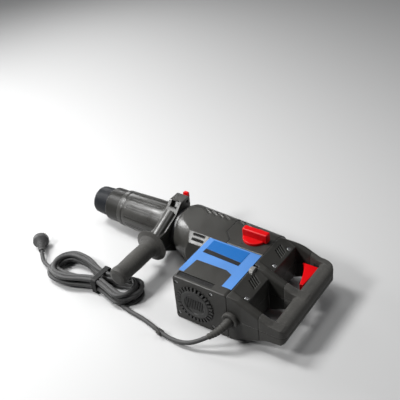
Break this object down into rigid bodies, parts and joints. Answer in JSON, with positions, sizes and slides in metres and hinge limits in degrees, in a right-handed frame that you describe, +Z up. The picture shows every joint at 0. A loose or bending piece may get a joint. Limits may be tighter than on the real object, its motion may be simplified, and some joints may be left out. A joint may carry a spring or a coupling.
{
  "type": "rotary hammer",
  "caption": "Corded rotary hammer with SDS-max tool holder, upright motor, D-shaped rear handle with trigger, swivelling side handle and folded mains lead.",
  "frame": {"origin": "on the tool axis, at the mouth of the steel tool holder", "axes": "+X forward out of the tool holder, +Y along the motor towards its end, +Z up as the tool lies on its side"},
  "size_m": [0.6726, 0.3126, 0.1303],
  "materials": {
    "casing_plastic": "glass-filled nylon, fine spark-eroded texture",
    "grip_rubber": "soft moulded grip rubber",
    "blue_plastic": "satin moulded blue",
    "label_plate": "thin printed plates, left blank",
    "red_plastic": "satin moulded red",
    "dial_plastic": "grey moulded",
    "black_plastic": "moulded",
    "circuit_board": "lacquered board with parts",
    "machined_steel": "machined",
    "bearing_steel": "ground",
    "gear_steel": "cut and hardened",
    "spring_steel": "oiled",
    "forged_aluminium": "cast, part machined",
    "lamination_steel": "stacked laminations",
    "copper": "copper, lacquered in the windings",
    "carbon": "pressed carbon",
    "lead_rubber": "black rubber sheath",
    "plated_brass": "nickel-plated"
  },
  "bodies": {
    "housing": {"gear_housing": "casing_plastic", "gear_cover": "casing_plastic", "motor_housing": "casing_plastic", "motor_end_cover": "casing_plastic", "trim_panel_upper": "blue_plastic", "trim_panel_lower": "blue_plastic", "name_plates": "label_plate", "handle_shell_upper": "casing_plastic", "handle_shell_lower": "casing_plastic", "grip_shell_upper": "grip_rubber", "grip_shell_lower": "grip_rubber", "power_switch": "black_plastic", "control_board": "circuit_board", "barrel_tube": "forged_aluminium", "barrel_sleeve": "casing_plastic", "spindle_bearings": "bearing_steel", "shaft_bearings": "bearing_steel", "bearing_plate": "forged_aluminium", "gearbox_plate": "forged_aluminium", "motor_bearings": "bearing_steel", "stator_core": "lamination_steel", "field_coils": "copper", "brush_holders": "black_plastic", "carbon_brushes": "carbon", "case_screws": "machined_steel", "cord_gland": "grip_rubber", "strain_relief": "grip_rubber", "cord_lead": "lead_rubber", "cord_tail": "lead_rubber", "cord_hank": "lead_rubber", "cable_ties": "black_plastic", "plug_body": "lead_rubber", "plug_pins": "plated_brass"},
    "spindle": {"tool_holder": "machined_steel", "locking_rollers": "machined_steel", "sleeve_spring": "spring_steel", "cylinder": "machined_steel", "bevel_ring_gear": "gear_steel", "dust_cap": "grip_rubber"},
    "locking_sleeve": {"locking_sleeve": "casing_plastic"},
    "impact_bolt": {"impact_bolt": "machined_steel"},
    "ram": {"ram": "machined_steel"},
    "piston": {"piston": "machined_steel", "wrist_pin": "machined_steel"},
    "connecting_rod": {"connecting_rod": "forged_aluminium"},
    "crank": {"crankshaft": "machined_steel", "crank_gear": "gear_steel"},
    "idler": {"idler_gear": "gear_steel"},
    "armature": {"armature_shaft": "machined_steel", "armature_core": "lamination_steel", "commutator": "copper", "fan": "black_plastic"},
    "mode_knob": {"mode_knob": "red_plastic"},
    "trigger": {"trigger": "red_plastic"},
    "speed_dial": {"speed_dial": "dial_plastic"},
    "side_handle": {"side_bracket": "casing_plastic", "clamp_band": "machined_steel", "clamp_stud": "machined_steel"},
    "side_grip": {"side_grip": "grip_rubber"},
    "depth_lock_button": {"depth_lock_button": "red_plastic"}
  },
  "joints": [
    {"name": "spindle_spin", "type": "hinge", "parent": "housing", "child": "spindle", "pos_m": [-0.2, 0, 0], "axis": [1, 0, 0], "continuous": true},
    {"name": "sleeve_pull", "type": "slide", "parent": "spindle", "child": "locking_sleeve", "axis": [-1, 0, 0], "range_m": [0, 0.011], "stiffness_N_per_m": 1500, "springref_m": -0.006},
    {"name": "impact_bolt_slide", "type": "slide", "parent": "spindle", "child": "impact_bolt", "axis": [1, 0, 0], "range_m": [0, 0.0035]},
    {"name": "ram_slide", "type": "slide", "parent": "housing", "child": "ram", "axis": [1, 0, 0], "range_m": [0, 0.02]},
    {"name": "piston_stroke", "type": "slide", "parent": "housing", "child": "piston", "axis": [-1, 0, 0], "range_m": [0, 0.028]},
    {"name": "rod_swing", "type": "hinge", "parent": "piston", "child": "connecting_rod", "pos_m": [-0.26175, 0, 0], "axis": [0, 1, 0], "range_deg": [-11.2, 11.2]},
    {"name": "crank_spin", "type": "hinge", "parent": "housing", "child": "crank", "pos_m": [-0.34775, 0.03, 0], "axis": [0, 1, 0], "continuous": true},
    {"name": "idler_spin", "type": "hinge", "parent": "housing", "child": "idler", "pos_m": [-0.28625, 0.045, 0], "axis": [0, 1, 0], "continuous": true},
    {"name": "armature_spin", "type": "hinge", "parent": "housing", "child": "armature", "pos_m": [-0.392, 0.11, 0], "axis": [0, 1, 0], "continuous": true},
    {"name": "mode_turn", "type": "hinge", "parent": "housing", "child": "mode_knob", "pos_m": [-0.425, 0.018, 0.06], "axis": [0, 0, 1], "range_deg": [0, 120]},
    {"name": "trigger_pull", "type": "hinge", "parent": "housing", "child": "trigger", "pos_m": [-0.545, 0.047, 0], "axis": [0, 0, -1], "range_deg": [0, 8], "stiffness_Nm_per_rad": 3, "springref_deg": -5.73},
    {"name": "dial_turn", "type": "hinge", "parent": "housing", "child": "speed_dial", "pos_m": [-0.4675, 0.1, 0.0445], "axis": [1, 0, 0], "range_deg": [0, 300]},
    {"name": "side_handle_swing", "type": "hinge", "parent": "housing", "child": "side_handle", "pos_m": [-0.2135, 0, 0], "axis": [1, 0, 0], "continuous": true},
    {"name": "side_grip_twist", "type": "hinge", "parent": "side_handle", "child": "side_grip", "pos_m": [-0.2135, 0.1, 0.009], "axis": [0, 1, 0], "range_deg": [0, 360]},
    {"name": "depth_lock_press", "type": "slide", "parent": "side_handle", "child": "depth_lock_button", "axis": [0, 1, 0], "range_m": [0, 0.003], "stiffness_N_per_m": 1500, "springref_m": -0.003}
  ],
  "couplings": [
    {"joint": "idler_spin", "follows": "spindle_spin", "ratio": -2.8333},
    {"joint": "crank_spin", "follows": "spindle_spin", "ratio": 1.8133},
    {"joint": "armature_spin", "follows": "spindle_spin", "ratio": -10.074}
  ]
}
